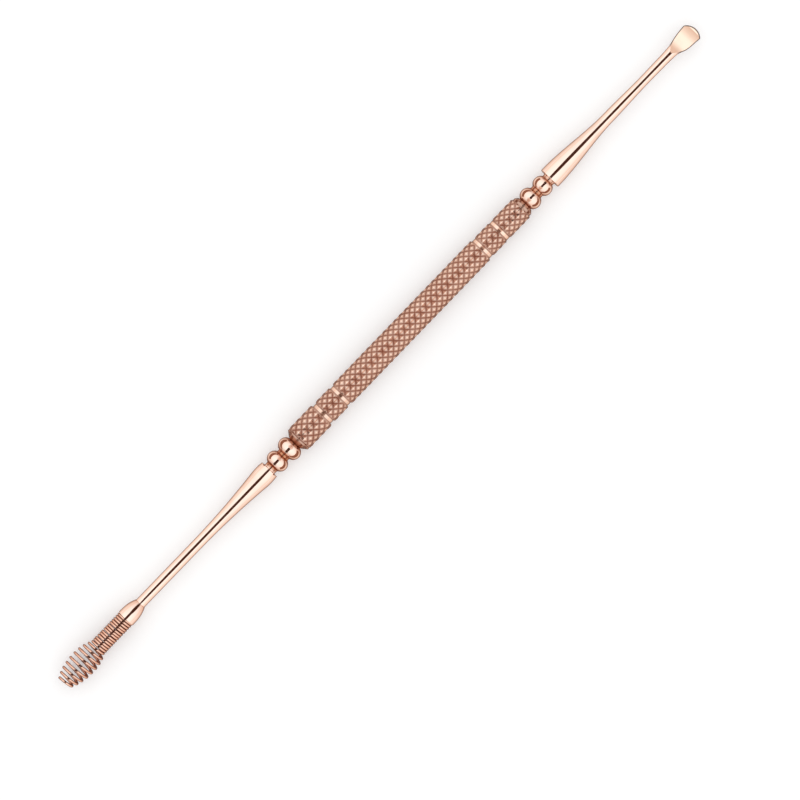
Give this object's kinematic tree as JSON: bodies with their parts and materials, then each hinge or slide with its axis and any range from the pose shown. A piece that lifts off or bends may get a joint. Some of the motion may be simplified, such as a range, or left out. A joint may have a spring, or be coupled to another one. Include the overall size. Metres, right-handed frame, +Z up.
{
  "type": "cuticle pusher",
  "caption": "Slim double-ended rose-gold hand tool with a knurled grip, a sprung wire spiral head at one end and a small hollow-ground spade at the other.",
  "frame": {"origin": "on the tool's axis, at the middle of the long knurled band of the grip", "axes": "+X along the axis from the spiral head towards the spade, +Z up out of the spade's hollow face, +Y to the left of the spade seen from above with +X ahead"},
  "size_m": [0.1498, 0.0048, 0.0048],
  "materials": {
    "polished_rose_gold": "polished rose-gold plate on stainless steel",
    "knurled_rose_gold": "diamond-knurled bar with rose-gold plate",
    "rose_gold_wire": "drawn spring wire with rose-gold plate"
  },
  "bodies": {
    "tool": {"grip_bar": "knurled_rose_gold", "spiral_end_connector": "polished_rose_gold", "blade_end_connector": "polished_rose_gold", "spiral_shank": "polished_rose_gold", "spiral_collar": "polished_rose_gold", "blade_shank": "polished_rose_gold"},
    "spiral_head": {"coil_spring": "rose_gold_wire"}
  },
  "joints": [
    {"name": "spiral_flex", "type": "hinge", "parent": "tool", "child": "spiral_head", "pos_m": [-0.0719, 0, 0], "axis": [0, 0, 1], "range_deg": [-20, 20], "stiffness_Nm_per_rad": 0.004, "deforming": ["coil_spring"]}
  ]
}
